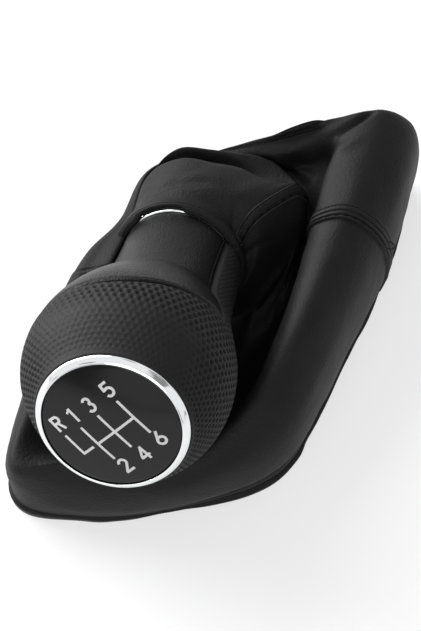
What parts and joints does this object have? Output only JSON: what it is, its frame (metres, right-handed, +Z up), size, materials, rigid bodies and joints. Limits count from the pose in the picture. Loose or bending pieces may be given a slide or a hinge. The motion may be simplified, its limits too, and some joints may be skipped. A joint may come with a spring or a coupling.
{
  "type": "gear shift knob",
  "caption": "Gear shift knob with a dimpled grip, a chrome-ringed shift pattern and a soft gaiter clamped to its neck.",
  "frame": {"origin": "centre of the part's footprint, on the ground that the gaiter's hem lies on", "axes": "+Z up; the knob's axis lies in a plane of constant X and rises towards -Y, so the shift pattern faces -Y and up"},
  "size_m": [0.0819, 0.1241, 0.0725],
  "materials": {
    "chrome": "mirror polished",
    "gloss_black": "high gloss",
    "white_print": "printed under gloss",
    "black_plastic": "moulded satin",
    "grip_black": "dimpled, semi-matt",
    "panel_black": "smooth, semi-matt",
    "bead_black": "matt",
    "sleeve_grey": "turned",
    "clamp_steel": "brushed",
    "gaiter_black": "soft, fine grain",
    "thread_black": "sewn thread"
  },
  "bodies": {
    "root": {"cap_bezel": "chrome", "pattern_disc": "gloss_black", "gate_print": "white_print", "cap_carrier": "black_plastic", "head_core": "black_plastic", "grip_skin": "grip_black", "neck_panel": "panel_black", "panel_bead": "bead_black", "neck_trim_ring": "chrome", "gaiter_collar": "black_plastic", "gaiter_tie": "black_plastic", "lever_sleeve": "sleeve_grey", "sleeve_clamp": "clamp_steel", "gaiter_near": "gaiter_black", "gaiter_far": "gaiter_black", "gaiter_rim": "gaiter_black", "seam_right": "gaiter_black", "seam_left": "gaiter_black", "hem_edge": "gaiter_black"}
  },
  "joints": []
}
